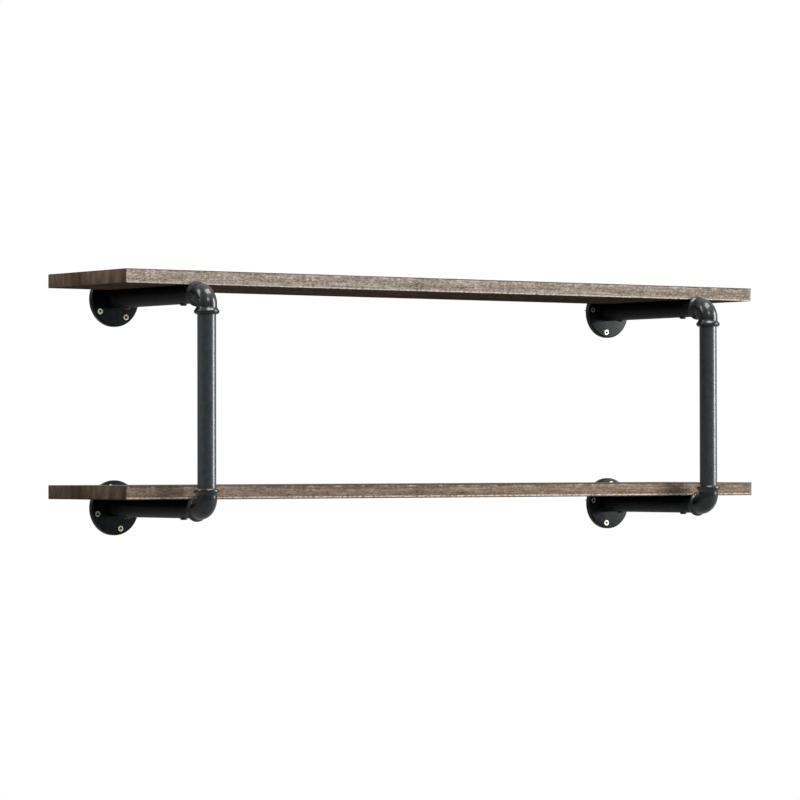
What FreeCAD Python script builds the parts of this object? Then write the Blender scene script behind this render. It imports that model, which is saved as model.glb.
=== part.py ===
import FreeCAD, Part
import os
import Sketcher

# Wall-mounted two-tier pipe shelf, in millimetres.
# +X is right, +Z is up, and the front faces -Y. The wall is the plane Y = 0.
# The origin lies on the wall, midway between the four flanges.

SIZES = (
    # Boards
    ("board_length", 1200.0, "board, end to end"),
    ("board_depth", 225.0, "board, front to back"),
    ("board_thick", 21.0, "board thickness"),
    ("board_arris", 0.9, "rounding of the board's edges"),
    ("board_overhang", 119.0, "board's end to the arm's axis"),
    ("wall_gap", 9.0, "wall to the board's back edge"),
    ("tier_pitch", 318.0, "lower arm axis to upper arm axis"),
    ("rest_clear", 0.05, "board's underside above the arm"),
    # Pipes
    ("pipe_od", 28.0, "outside diameter of the pipe"),
    ("pipe_wall", 2.6, "wall of the pipe"),
    ("socket_clear", 0.15, "gap round a pipe in its socket"),
    ("seat_clear", 0.3, "pipe's end to the shoulder it seats on"),
    # Elbows
    ("socket_depth", 13.25, "elbow's end face to the shoulder in its socket"),
    ("elbow_wall", 1.4, "wall of the elbow's body round a socket"),
    ("elbow_crotch", 2.2, "radius of the inside of the bend"),
    ("bead_rise", 3.4, "bead on the elbow's end, above its body"),
    ("bead_crest", 1.4, "straight length of the bead's crest"),
    ("bead_flare", 4.0, "run from the crest back down to the body"),
    ("front_round_share", 0.95, "front rounding of the bead, of the end face's height"),
    ("crest_round", 3.0, "rounding at the back of the crest"),
    ("flare_round", 5.0, "hollow where the flare meets the body"),
    ("mouth_bevel", 0.5, "bevel at the socket's mouth"),
    ("elbow_gap", 0.5, "board's front edge to the elbow's end face"),
    # Wall flanges
    ("flange_od", 84.0, "outside diameter of the flange"),
    ("flange_thick", 9.0, "thickness of the flange"),
    ("flange_round", 2.5, "rounding of the flange's front rim"),
    ("flange_lip", 1.5, "back lip that the arm's end seats on"),
    ("hole_inset", 9.0, "flange's rim to the axis of a screw hole"),
    ("flange_hole", 4.8, "diameter of a screw hole"),
    ("flange_sink", 9.4, "diameter of its countersink, at the front face"),
    ("flange_holes", 4.0, "screw holes in a flange"),
    ("turn_lower_left", 16.0, "first hole, degrees from +X towards +Z"),
    ("turn_lower_right", 81.0, "first hole, degrees from +X towards +Z"),
    ("turn_upper_left", 35.0, "first hole, degrees from +X towards +Z"),
    ("turn_upper_right", 83.0, "first hole, degrees from +X towards +Z"),
    # Wall screws
    ("wall_screw_od", 4.2, "diameter of the wall screw over its thread"),
    ("wall_shank_od", 3.2, "diameter of its plain shank, from the head to the wall"),
    ("wall_screw_length", 25.0, "top of the head to the tip"),
    ("wall_head_od", 8.8, "diameter of its countersunk head"),
    ("wall_tip", 6.0, "length of its point"),
    ("head_clear", 0.1, "gap under the head in its countersink"),
    # Board screws
    ("board_screw_od", 4.2, "diameter of the board screw"),
    ("board_screw_bite", 13.0, "depth of the screw in the board"),
    ("board_screw_inset", 32.0, "board's edge to the screw's axis"),
    ("board_head_od", 10.6, "diameter of its head"),
    ("board_head_high", 2.4, "height of its head"),
    ("board_head_rim", 0.9, "straight side of its head"),
    ("head_top_share", 0.6, "flat top of its head, of the head's diameter"),
    ("board_tip", 5.0, "length of its point"),
    ("pilot_clear", 0.05, "gap round the screw in the board"),
    ("pilot_spare", 1.0, "pilot hole past the screw's tip"),
    ("arm_hole_clear", 0.3, "gap round the screw in the arm"),
    # Cuts
    ("overrun", 2.0, "how far a cut runs past the face it opens"),
)

# Sizes that several pieces share
PIPE_RADIUS = "(Sizes.pipe_od / 2)"
BORE_RADIUS = "(Sizes.pipe_od / 2 - Sizes.pipe_wall)"
SOCKET_RADIUS = "(Sizes.pipe_od / 2 + Sizes.socket_clear)"
ELBOW_RADIUS = "(%s + Sizes.elbow_wall)" % SOCKET_RADIUS
ELBOW_BEND = "(%s + Sizes.elbow_crotch)" % ELBOW_RADIUS
ELBOW_REACH = "(%s + Sizes.socket_depth)" % ELBOW_BEND
BEAD_RADIUS = "(%s + Sizes.bead_rise)" % ELBOW_RADIUS
BEAD_FRONT_ROUND = "(Sizes.front_round_share * (Sizes.elbow_wall + Sizes.bead_rise - Sizes.mouth_bevel))"
CREST_BACK = "(%s - %s - Sizes.bead_crest)" % (ELBOW_REACH, BEAD_FRONT_ROUND)
FLARE_ROOT = "(%s - Sizes.bead_flare)" % CREST_BACK
HOLE_OUT = "(Sizes.flange_od / 2 - Sizes.hole_inset)"
UPRIGHT_OUT = "(Sizes.wall_gap + Sizes.board_depth + Sizes.elbow_gap + %s)" % ELBOW_REACH
ARM_START = "(Sizes.flange_lip + Sizes.seat_clear)"
ARM_END = "(%s - %s - Sizes.seat_clear)" % (UPRIGHT_OUT, ELBOW_BEND)
BACK_SCREW_OUT = "(Sizes.wall_gap + Sizes.board_screw_inset)"
SCREW_RUN = "(Sizes.board_depth - 2 * Sizes.board_screw_inset)"

SIDES = {"left": "-", "right": ""}
TIERS = {"lower": "-", "upper": ""}

doc = FreeCAD.newDocument("pipe_shelf")
sheet = doc.addObject("Spreadsheet::Sheet", "Sizes")
for row, (alias, value, meaning) in enumerate(SIZES, start=1):
    sheet.set("A%d" % row, meaning)
    sheet.set("B%d" % row, repr(value))
    sheet.setAlias("B%d" % row, alias)
doc.recompute()

sub_parts = []


def new_body(label):
    """A sub-part of its own, named by its label."""
    body = doc.addObject("PartDesign::Body", label)
    body.Label = label
    body.AllowCompound = True
    sub_parts.append(body)
    return body


def place(body, across, out, up):
    """Put a body at expressions for X, for the distance out of the wall, and for Z."""
    body.setExpression("Placement.Base.x", across)
    body.setExpression("Placement.Base.y", "-(%s)" % out)
    body.setExpression("Placement.Base.z", up)


def arm_across(side):
    return "%s(Sizes.board_length / 2 - Sizes.board_overhang)" % SIDES[side]


def arm_up(tier):
    return "%sSizes.tier_pitch / 2" % TIERS[tier]


def value_of(expression):
    """The number that an expression gives, for a sketch's first draft."""
    return float(sheet.evalExpression(expression))


def origin_part(body, role):
    return next(part for part in body.Origin.OriginFeatures if part.Role == role)


def new_sketch(body, name, plane, lift=None):
    """A sketch on one of the body's own planes, moved along the plane's normal by lift."""
    sketch = body.newObject("Sketcher::SketchObject", name)
    sketch.AttachmentSupport = [(origin_part(body, plane), "")]
    sketch.MapMode = "FlatFace"
    if lift:
        sketch.setExpression("AttachmentOffset.Base.z", lift)
    return sketch


def pin(sketch, geometry, end, x, y):
    """Tie a point's two coordinates to expressions, measured from the sketch's origin."""
    for kind, expression in (("DistanceX", x), ("DistanceY", y)):
        constraint = Sketcher.Constraint(kind, -1, 1, geometry, end, value_of(expression))
        index = sketch.addConstraint(constraint)
        sketch.setExpression("Constraints[%d]" % index, expression)


def outline(sketch, corners):
    """A closed outline of straight edges through corners, each a pair of expressions."""
    points = [FreeCAD.Vector(value_of(x), value_of(y), 0) for x, y in corners]
    count = len(points)
    edges = [Part.LineSegment(points[i], points[(i + 1) % count]) for i in range(count)]
    first = sketch.addGeometry(edges, False)[0]
    for i, (x, y) in enumerate(corners):
        following = first + (i + 1) % count
        sketch.addConstraint(Sketcher.Constraint("Coincident", first + i, 2, following, 1))
        pin(sketch, first + i, 1, x, y)


def circle(sketch, x, y, radius):
    """A circle whose centre and radius are expressions."""
    centre = FreeCAD.Vector(value_of(x), value_of(y), 0)
    index = sketch.addGeometry(Part.Circle(centre, FreeCAD.Vector(0, 0, 1), value_of(radius)), False)
    pin(sketch, index, 3, x, y)
    size = sketch.addConstraint(Sketcher.Constraint("Radius", index, value_of(radius)))
    sketch.setExpression("Constraints[%d]" % size, radius)


def axis_line(sketch, start, end):
    """A construction line to turn a profile about, between two pairs of expressions."""
    points = [FreeCAD.Vector(value_of(x), value_of(y), 0) for x, y in (start, end)]
    index = sketch.addGeometry(Part.LineSegment(*points), True)
    pin(sketch, index, 1, *start)
    pin(sketch, index, 2, *end)


def pad(body, sketch, length):
    feature = body.newObject("PartDesign::Pad", sketch.Name + "_pad")
    feature.Profile = sketch
    feature.setExpression("Length", length)
    return feature


def pocket(body, sketch, length=None, both_ways=False):
    """Cut along the sketch's normal, to a depth or through all, or through all both ways."""
    feature = body.newObject("PartDesign::Pocket", sketch.Name + "_cut")
    feature.Profile = sketch
    if length:
        feature.setExpression("Length", length)
    else:
        feature.Type = "ThroughAll"
    if both_ways:
        feature.SideType = "Symmetric"
    else:
        feature.Reversed = True
    return feature


def turn(body, kind, sketch, axis, angle=360):
    """A Revolution or Groove of a sketch about one of the sketch's axes."""
    feature = body.newObject("PartDesign::" + kind, sketch.Name + "_turn")
    feature.Profile = sketch
    feature.ReferenceAxis = (sketch, [axis])
    feature.Angle = angle
    return feature


def round_edges(body, name, radius, chosen):
    """Fillet the edges of the body's tip that chosen picks."""
    doc.recompute()
    base = body.Tip
    edges = ["Edge%d" % (i + 1) for i, edge in enumerate(base.Shape.Edges) if chosen(edge)]
    feature = body.newObject("PartDesign::Fillet", name)
    feature.Base = (base, edges)
    feature.setExpression("Radius", radius)
    return feature


def is_ring(edge, radius, reach):
    """Whether an edge is a circle of this radius, centred at this distance from the origin."""
    if not isinstance(edge.Curve, Part.Circle):
        return False
    same_radius = abs(edge.Curve.Radius - radius) < Part.Precision.approximation()
    same_reach = abs(edge.Curve.Center.Length - reach) < Part.Precision.approximation()
    return same_radius and same_reach


def board(tier):
    """A board with rounded edges, laid on its two arms, and pilot holes in its underside."""
    body = new_body("%s_board" % tier)
    plan = new_sketch(body, "%s_board_plan" % tier, "XY_Plane")
    left, right = "-Sizes.board_length / 2", "Sizes.board_length / 2"
    outline(plan, ((left, "0"), (left, "-Sizes.board_depth"), (right, "-Sizes.board_depth"), (right, "0")))
    pad(body, plan, "Sizes.board_thick")
    round_edges(body, "%s_board_arris" % tier, "Sizes.board_arris", lambda edge: True)

    pilots = new_sketch(body, "%s_board_pilots" % tier, "XY_Plane")
    for side in SIDES:
        for out in ("Sizes.board_screw_inset", "(Sizes.board_depth - Sizes.board_screw_inset)"):
            circle(pilots, arm_across(side), "-" + out, "Sizes.board_screw_od / 2 + Sizes.pilot_clear")
    pocket(body, pilots, "Sizes.board_screw_bite + Sizes.pilot_spare")
    place(body, "0", "Sizes.wall_gap", "%s + %s + Sizes.rest_clear" % (arm_up(tier), PIPE_RADIUS))


def arm_pipe(tier, side):
    """A tube from its flange to its elbow, cross drilled for the board's two screws."""
    name = "arm_pipe_%s_%s" % (tier, side)
    body = new_body(name)
    section = new_sketch(body, name + "_section", "XZ_Plane")
    circle(section, "0", "0", PIPE_RADIUS)
    circle(section, "0", "0", BORE_RADIUS)
    pad(body, section, "%s - %s" % (ARM_END, ARM_START))

    drilling = new_sketch(body, name + "_drilling", "XY_Plane")
    for out in (BACK_SCREW_OUT, "(%s + %s)" % (BACK_SCREW_OUT, SCREW_RUN)):
        along = "-(%s - %s)" % (out, ARM_START)
        circle(drilling, "0", along, "Sizes.board_screw_od / 2 + Sizes.arm_hole_clear")
    pocket(body, drilling, both_ways=True)
    place(body, arm_across(side), ARM_START, arm_up(tier))


def upright_pipe(side):
    """A plain tube between the shoulders of the lower and the upper elbow."""
    name = "upright_pipe_%s" % side
    body = new_body(name)
    section = new_sketch(body, name + "_section", "XY_Plane")
    circle(section, "0", "0", PIPE_RADIUS)
    circle(section, "0", "0", BORE_RADIUS)
    shoulder = "(%s + Sizes.seat_clear)" % ELBOW_BEND
    pad(body, section, "Sizes.tier_pitch - 2 * %s" % shoulder)
    place(body, arm_across(side), UPRIGHT_OUT, "%s + %s" % (arm_up("lower"), shoulder))


def swapped(corners):
    return [(y, x) for x, y in corners]


def elbow(tier, side):
    """A cast 90 degree elbow: a bent body, a beaded collar on each end, and two sockets.

    Its own X points along the upright and its own Y along the arm.
    """
    name = "elbow_%s_%s" % (tier, side)
    body = new_body(name)
    bend_axis = ((ELBOW_BEND, ELBOW_BEND), (ELBOW_BEND, "0"))

    body_section = new_sketch(body, name + "_body", "YZ_Plane", ELBOW_BEND)
    axis_line(body_section, *bend_axis)
    circle(body_section, "0", "0", ELBOW_RADIUS)
    turn(body, "Revolution", body_section, "Axis0", 90)

    collar = (
        (ELBOW_BEND, "0"),
        (ELBOW_REACH, "0"),
        (ELBOW_REACH, BEAD_RADIUS),
        (CREST_BACK, BEAD_RADIUS),
        (FLARE_ROOT, ELBOW_RADIUS),
        (ELBOW_BEND, ELBOW_RADIUS),
    )
    upright_collar = new_sketch(body, name + "_upright_collar", "XY_Plane")
    outline(upright_collar, collar)
    turn(body, "Revolution", upright_collar, "H_Axis")
    arm_collar = new_sketch(body, name + "_arm_collar", "XY_Plane")
    outline(arm_collar, swapped(collar))
    turn(body, "Revolution", arm_collar, "V_Axis")

    bore_section = new_sketch(body, name + "_bore", "YZ_Plane", ELBOW_BEND)
    axis_line(bore_section, *bend_axis)
    circle(bore_section, "0", "0", BORE_RADIUS)
    turn(body, "Groove", bore_section, "Axis0", 90)

    socket = (
        (ELBOW_BEND, "0"),
        (ELBOW_REACH + " + Sizes.overrun", "0"),
        (ELBOW_REACH + " + Sizes.overrun", SOCKET_RADIUS + " + Sizes.mouth_bevel + Sizes.overrun"),
        (ELBOW_REACH + " - Sizes.mouth_bevel", SOCKET_RADIUS),
        (ELBOW_BEND, SOCKET_RADIUS),
    )
    upright_socket = new_sketch(body, name + "_upright_socket", "XY_Plane")
    outline(upright_socket, socket)
    turn(body, "Groove", upright_socket, "H_Axis")
    arm_socket = new_sketch(body, name + "_arm_socket", "XY_Plane")
    outline(arm_socket, swapped(socket))
    turn(body, "Groove", arm_socket, "V_Axis")

    bead, neck = value_of(BEAD_RADIUS), value_of(ELBOW_RADIUS)
    front, crest_back, root = value_of(ELBOW_REACH), value_of(CREST_BACK), value_of(FLARE_ROOT)
    round_edges(body, name + "_fronts", BEAD_FRONT_ROUND, lambda edge: is_ring(edge, bead, front))
    round_edges(body, name + "_crests", "Sizes.crest_round", lambda edge: is_ring(edge, bead, crest_back))
    round_edges(body, name + "_roots", "Sizes.flare_round", lambda edge: is_ring(edge, neck, root))

    up = FreeCAD.Vector(0, 0, 1)
    along_upright = up if tier == "lower" else -up
    along_arm = FreeCAD.Vector(0, 1, 0)
    body.Placement.Rotation = FreeCAD.Rotation(along_upright, along_arm, FreeCAD.Vector(), "XYZ")
    place(body, arm_across(side), UPRIGHT_OUT, arm_up(tier))


def turn_to(body, tier, side):
    """Turn a flange or its screws about the arm's axis, to that flange's own angle."""
    towards_room = FreeCAD.Vector(0, -1, 0)
    body.Placement.Rotation = FreeCAD.Rotation(towards_room, 1)
    body.setExpression("Placement.Rotation.Angle", "Sizes.turn_%s_%s" % (tier, side))


def around_flange(body, feature):
    """Repeat a hole or a screw round the flange's circle."""
    pattern = body.newObject("PartDesign::PolarPattern", feature.Name + "_round")
    pattern.Originals = [feature]
    pattern.Axis = (origin_part(body, "Y_Axis"), [""])
    pattern.Angle = 360
    pattern.setExpression("Occurrences", "Sizes.flange_holes")
    body.Tip = pattern


def wall_flange(tier, side):
    """A thick disc with a rounded rim, a stepped bore for the arm, and countersunk holes."""
    name = "wall_flange_%s_%s" % (tier, side)
    body = new_body(name)
    profile = new_sketch(body, name + "_profile", "XY_Plane")
    outline(profile, (
        (BORE_RADIUS, "0"),
        ("Sizes.flange_od / 2", "0"),
        ("Sizes.flange_od / 2", "-Sizes.flange_thick"),
        (SOCKET_RADIUS, "-Sizes.flange_thick"),
        (SOCKET_RADIUS, "-Sizes.flange_lip"),
        (BORE_RADIUS, "-Sizes.flange_lip"),
    ))
    turn(body, "Revolution", profile, "V_Axis")
    rim, front = value_of("Sizes.flange_od / 2"), value_of("Sizes.flange_thick")
    round_edges(body, name + "_rim", "Sizes.flange_round", lambda edge: is_ring(edge, rim, front))

    hole = new_sketch(body, name + "_hole", "XY_Plane")
    wall = HOLE_OUT + " + Sizes.flange_hole / 2"
    past_front = "-(Sizes.flange_thick + Sizes.overrun)"
    axis_line(hole, (HOLE_OUT, "0"), (HOLE_OUT, "Sizes.flange_thick"))
    outline(hole, (
        (HOLE_OUT, "Sizes.overrun"),
        (wall, "Sizes.overrun"),
        (wall, "-Sizes.flange_thick + (Sizes.flange_sink - Sizes.flange_hole) / 2"),
        (HOLE_OUT + " + Sizes.flange_sink / 2 + Sizes.overrun", past_front),
        (HOLE_OUT, past_front),
    ))
    around_flange(body, turn(body, "Groove", hole, "Axis0"))
    turn_to(body, tier, side)
    place(body, arm_across(side), "0", arm_up(tier))


def wall_screws(tier, side):
    """The screws of one flange: heads sunk in its front face, plain shanks in it, threads in the wall."""
    name = "wall_screws_%s_%s" % (tier, side)
    body = new_body(name)
    profile = new_sketch(body, name + "_profile", "XY_Plane")
    shank = HOLE_OUT + " + Sizes.wall_shank_od / 2"
    thread = HOLE_OUT + " + Sizes.wall_screw_od / 2"
    rim = HOLE_OUT + " + Sizes.wall_head_od / 2"
    # A head smaller than its countersink sits as much deeper as it is smaller in radius.
    top = "(-Sizes.flange_thick + (Sizes.flange_sink - Sizes.wall_head_od) / 2 - Sizes.head_clear)"
    tip = "(%s + Sizes.wall_screw_length)" % top
    axis_line(profile, (HOLE_OUT, top), (HOLE_OUT, tip))
    outline(profile, (
        (HOLE_OUT, top),
        (rim, top),
        (shank, top + " + (Sizes.wall_head_od - Sizes.wall_shank_od) / 2"),
        (shank, "0"),
        (thread, "0"),
        (thread, tip + " - Sizes.wall_tip"),
        (HOLE_OUT, tip),
    ))
    around_flange(body, turn(body, "Revolution", profile, "Axis0"))
    turn_to(body, tier, side)
    place(body, arm_across(side), "0", arm_up(tier))


def board_screws(tier, side):
    """The two screws that go up through one arm into the board."""
    name = "board_screws_%s_%s" % (tier, side)
    body = new_body(name)
    profile = new_sketch(body, name + "_profile", "XZ_Plane")
    tip = "(Sizes.pipe_od + Sizes.rest_clear + Sizes.board_screw_bite)"
    outline(profile, (
        ("0", "-Sizes.board_head_high"),
        ("Sizes.head_top_share * Sizes.board_head_od / 2", "-Sizes.board_head_high"),
        ("Sizes.board_head_od / 2", "-Sizes.board_head_rim"),
        ("Sizes.board_head_od / 2", "0"),
        ("Sizes.board_screw_od / 2", "0"),
        ("Sizes.board_screw_od / 2", tip + " - Sizes.board_tip"),
        ("0", tip),
    ))
    screw = turn(body, "Revolution", profile, "V_Axis")
    pattern = body.newObject("PartDesign::LinearPattern", name + "_pair")
    pattern.Originals = [screw]
    pattern.Direction = (origin_part(body, "Y_Axis"), [""])
    pattern.Reversed = True
    pattern.setExpression("Length", SCREW_RUN)
    pattern.Occurrences = 2
    body.Tip = pattern
    place(body, arm_across(side), BACK_SCREW_OUT, "%s - %s" % (arm_up(tier), PIPE_RADIUS))


def check_document():
    """Stop if any object failed, or any sub-part is empty or not valid."""
    for item in doc.Objects:
        if {"Invalid", "Error"} & set(item.State):
            raise RuntimeError("%s failed: %s" % (item.Name, item.State))
    for body in sub_parts:
        if body.Shape.isNull() or not body.Shape.isValid() or not body.Shape.Solids:
            raise RuntimeError("%s has no valid solid" % body.Label)


for tier in TIERS:
    board(tier)
    for side in SIDES:
        wall_flange(tier, side)
        wall_screws(tier, side)
        arm_pipe(tier, side)
        elbow(tier, side)
        board_screws(tier, side)
for side in SIDES:
    upright_pipe(side)
doc.recompute()
check_document()

os.makedirs("parts", exist_ok=True)
for body in sub_parts:
    body.Shape.exportStep("parts/%s.step" % body.Label)
    print("%-28s solids %d volume %.1f" % (body.Label, len(body.Shape.Solids), body.Shape.Volume))
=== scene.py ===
import math

import bmesh
import bpy
from mathutils import Matrix, Vector


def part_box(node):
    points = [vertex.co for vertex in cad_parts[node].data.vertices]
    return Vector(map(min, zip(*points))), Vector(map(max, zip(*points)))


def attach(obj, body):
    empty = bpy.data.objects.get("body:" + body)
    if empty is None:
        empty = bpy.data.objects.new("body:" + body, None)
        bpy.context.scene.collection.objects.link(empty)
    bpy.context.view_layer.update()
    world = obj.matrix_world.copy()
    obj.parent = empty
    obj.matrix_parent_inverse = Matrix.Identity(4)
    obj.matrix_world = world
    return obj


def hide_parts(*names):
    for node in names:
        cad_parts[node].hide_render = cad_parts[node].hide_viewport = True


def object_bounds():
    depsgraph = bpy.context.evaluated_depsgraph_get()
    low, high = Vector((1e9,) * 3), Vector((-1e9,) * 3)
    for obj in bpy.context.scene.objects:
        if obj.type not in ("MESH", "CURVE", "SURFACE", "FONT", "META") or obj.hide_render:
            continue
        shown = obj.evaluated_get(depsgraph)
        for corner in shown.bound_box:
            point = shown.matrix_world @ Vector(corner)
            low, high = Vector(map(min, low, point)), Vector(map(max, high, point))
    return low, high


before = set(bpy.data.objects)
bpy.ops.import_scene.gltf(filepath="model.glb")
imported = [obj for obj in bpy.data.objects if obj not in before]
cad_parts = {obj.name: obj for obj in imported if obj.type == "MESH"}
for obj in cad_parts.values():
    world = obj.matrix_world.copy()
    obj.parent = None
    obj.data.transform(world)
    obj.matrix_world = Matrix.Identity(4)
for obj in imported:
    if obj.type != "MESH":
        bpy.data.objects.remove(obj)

# Wall-mounted pipe shelf, in metres: +X right, +Y into the wall, +Z up.
CAD_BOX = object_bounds()
TIERS = ("lower", "upper")
SIDES = ("left", "right")
PLACES = ["%s_%s" % (tier, side) for tier in TIERS for side in SIDES]
BACK = Vector((0, 1, 0))
UP = Vector((0, 0, 1))
QUARTER_TURN = math.pi / 2

# Meshes: edges that bend more than the sharp angle keep their crease
ROUND_SEGMENTS = 72
BEND_STEPS = 28
FILLET_STEPS = 7
MERGE_DISTANCE = 1e-7
SHARP_DEGREES = 38
BOARD_SHARP_DEGREES = 20

# Pipes and elbows
PIPE_WALL = 0.0026
PIPE_END_BEVEL = 0.0005
PIPE_RING_STEP = 0.008
SOCKET_CLEAR = 0.00015
ELBOW_WALL = 0.0014
ELBOW_CROTCH = 0.0022
BEAD_FRONT_SHARE = 0.95
BEAD_CREST = 0.0014
BEAD_FLARE = 0.004
CREST_ROUND = 0.003
FLARE_ROUND = 0.005
MOUTH_BEVEL = 0.0005

# Boards
ARRIS_ROUND = 0.0009
ARRIS_SEGMENTS = 3
ARRIS_PROFILE = 0.5
PILOT_RADIUS = 0.00215
PILOT_DEPTH = 0.014

# Wall flanges: the turn of each first hole, in degrees from +X towards +Z
FLANGE_TURNS = {"lower_left": 16.0, "lower_right": 81.0, "upper_left": 35.0, "upper_right": 83.0}
FLANGE_RIM_ROUND = 0.0025
FLANGE_BACK_ROUND = 0.0004
FLANGE_LIP = 0.0015
HOLE_COUNT = 4
HOLE_CIRCLE_RADIUS = 0.033
HOLE_RADIUS = 0.0024
SINK_RADIUS = 0.0047
CUT_OVERRUN = 0.002
CUT_SEGMENTS = 40

# A drill's length, in flange thicknesses or in pipe radii
DRILL_LENGTHS = 4.0

# Screws: a recess is given in shares of its reach
SCREW_SEGMENTS = 28
THREAD_STEPS = 6
THREAD_STEEPNESS = 1.6
THREAD_GAP = 0.0005
POINT_RADIUS = 1e-5
RECESS_ARM_SHARE = 0.36
RECESS_DEPTH_SHARE = 0.9
RECESS_FLOOR_SHARE = 0.5
RECESS_FLOOR_ARM_SHARE = 0.2
WALL_SCREW = {"head": 0.0044, "shank": 0.0016, "thread": 0.0021, "core": 0.00145, "pitch": 0.0021,
              "tip": 0.006, "length": 0.025, "recess": 0.0027}
WALL_HEAD_SINK = 0.0002
BOARD_SCREW = {"head": 0.0053, "shank": 0.0017, "thread": 0.0021, "core": 0.00145, "pitch": 0.0019,
               "tip": 0.005, "recess": 0.0021}
BOARD_HEAD_HIGH = 0.0024
BOARD_HEAD_RIM = 0.0009
BOARD_HEAD_TOP_SHARE = 0.6
BOARD_SCREW_INSET = 0.032
SCREWS_PER_ARM = 2
ARM_HOLE_RADIUS = 0.0024

# Wood: tones, where the heart of the tree lies, the tone from the left end to the right (on the upper board
# painted shade that darkens it towards the right, against the key lamp's light), the ends' tone (partly
# painted shade), and the height of the painted shade at the foot
BOARD_TONES = {
    "upper": dict(heart=(0, 0.035, 0.05), dark=(0.165, 0.126, 0.100), middle_tone=(0.35, 0.288, 0.240),
                  pale=(0.62, 0.55, 0.48), end_grain_and_shade_tone=(0.092, 0.065, 0.050), tone_drift_with_painted_shade=(1.06, 0.70),
                  foot=0.0, speckle=1.4, glints=0.8),
    "lower": dict(heart=(0, -0.06, 0.066), dark=(0.115, 0.078, 0.056), middle_tone=(0.245, 0.176, 0.131),
                  pale=(0.44, 0.345, 0.27), end_grain_and_shade_tone=(0.078, 0.055, 0.040), tone_drift_with_painted_shade=(0.90, 0.90),
                  foot=0.0016, speckle=0.95, glints=0.15),
}
RUBBED_WOOD = (0.78, 0.70, 0.60)
# Dark of the grime along the top edges, and of the painted shade along the lower board's foot
GRIME_AND_SHADE_WOOD = (0.06, 0.05, 0.042)

# Wood: its noises, in features per metre, and how far each is squeezed along X, Y and Z
WOOD_NOISES = {
    "fibres": dict(scale=26.0, detail=6, roughness=0.62, stretch=(1, 22, 22)),
    "flecks": dict(scale=235.0, detail=4, roughness=0.7, stretch=(0.75, 1.4, 1.4)),
    "mottle": dict(scale=110.0, detail=3, roughness=0.6, stretch=(0.55, 1.3, 1.3)),
    "sparks": dict(scale=300.0, detail=1, roughness=0.5, stretch=(0.8, 1.2, 1.2)),
    "pores": dict(scale=300.0, detail=2, roughness=0.5, stretch=(0.5, 2.4, 2.4)),
    "stains": dict(scale=9.0, detail=4, roughness=0.6, stretch=(1, 2, 2)),
    "strokes": dict(scale=45.0, detail=5, roughness=0.65, stretch=(1, 1.4, 0.6)),
    "patches": dict(scale=13.0, detail=2, roughness=0.5, stretch=(1, 1, 0.7)),
}
NOISE_MIDDLE = 0.5
RING_STRETCH = (0.08, 1, 1)
RING_SIZES = {"Scale": 42.0, "Distortion": 5.0, "Detail": 3.0, "Detail Scale": 1.2}

# Wood: how much each noise sways the grain, and where the grain's tones lie
FLAT_FIGURE = 0.4
SIDE_FIGURE = 0.16
MOTTLE_WEIGHT = 0.5
FIBRE_WEIGHT = 0.8
STAIN_WEIGHT = 0.3
GRAIN_STOPS = (0.2, 0.5, 0.8)

# Wood: a noise's low and high value, and what it gives at each
PORE_SHADE = (0.33, 0.43, 0.62, 1.0)
STROKE_SHADE = (0.32, 0.70, 0.55, 1.5)
PATCH_SHADE = (0.36, 0.64, 1.4, 0.7)
LOW_DASHES = (0.4, 0.54, 0.1, 0.95)
HIGH_DASHES = (0.54, 0.66, 0.0, 0.5)
# Patches in the grime and in the painted shade at the foot
GRIME_AND_SHADE_PATCHES = (0.35, 0.6, 0.5, 0.9)
WOOD_ROUGHNESS = (0.3, 0.7, 0.72, 0.56)
SPARK_SPAN = (0.66, 0.74)
END_DASH_SPAN = (0.36, 0.5)
SPARK_FADE = 3.0

# Wood: worn and grimed edges, painted shade at the foot, relief, and how a face points to count as a side,
# the front or an end
RUB_HIGH = 0.0020
GRIME_HIGH = 0.0014
# How dark the painted shade along the foot is
FOOT_SHADE_SHARE = 0.6
EDGE_SOFT = 0.0005
END_RUB = 0.005
SIDE_FACE = 0.9
FRONT_FACE = -0.3
END_FACE = 0.7
FIBRE_RELIEF = 0.6
FLECK_RELIEF = 0.5
PORE_RELIEF = 0.35
WOOD_BUMP_DEPTH = 0.0009
WOOD_BUMP_STRENGTH = 0.75

# Black coats: least and most roughness, pebbles per metre and their depth, a lacquer's share and roughness
COATS = {
    "satin_black_pipe": dict(base=(0.0105, 0.0122, 0.0138), rough=(0.46, 0.58), pebbles=420.0,
                             depth=0.00004, specular=0.42, lacquer=(0.5, 0.12)),
    # The arms' coat: a darker, duller copy of the uprights' coat, painted shade for the arms under the boards
    "arm_black_darkened_for_shade": dict(base=(0.0085, 0.009, 0.010), rough=(0.42, 0.54), pebbles=420.0,
                           depth=0.00012, specular=0.13, lacquer=(0.0, 0.1)),
    "cast_black_elbow": dict(base=(0.0075, 0.0078, 0.0084), rough=(0.34, 0.44), pebbles=300.0,
                             depth=0.00008, specular=0.19, lacquer=(0.5, 0.17)),
    "gloss_black_flange": dict(base=(0.004, 0.0044, 0.005), rough=(0.28, 0.38), pebbles=160.0,
                               depth=0.00003, specular=0.17, lacquer=(0.0, 0.1)),
}
COAT_MOTTLE = dict(scale=120.0, detail=4)
COAT_TONES = ((0.3, 0.45), (0.5, 1.0), (0.72, 2.2))
COAT_SPAN = (0.3, 0.7)
COOL_SHEEN = (0.86, 0.95, 1.0)
PEBBLE_NOISE = dict(detail=3, roughness=0.5)
GRIT_NOISE = dict(detail=2, roughness=0.5)
GRIT_PER_PEBBLE = 4
GRIT_RELIEF = 0.35
COAT_BUMP_STRENGTH = 0.6

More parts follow.
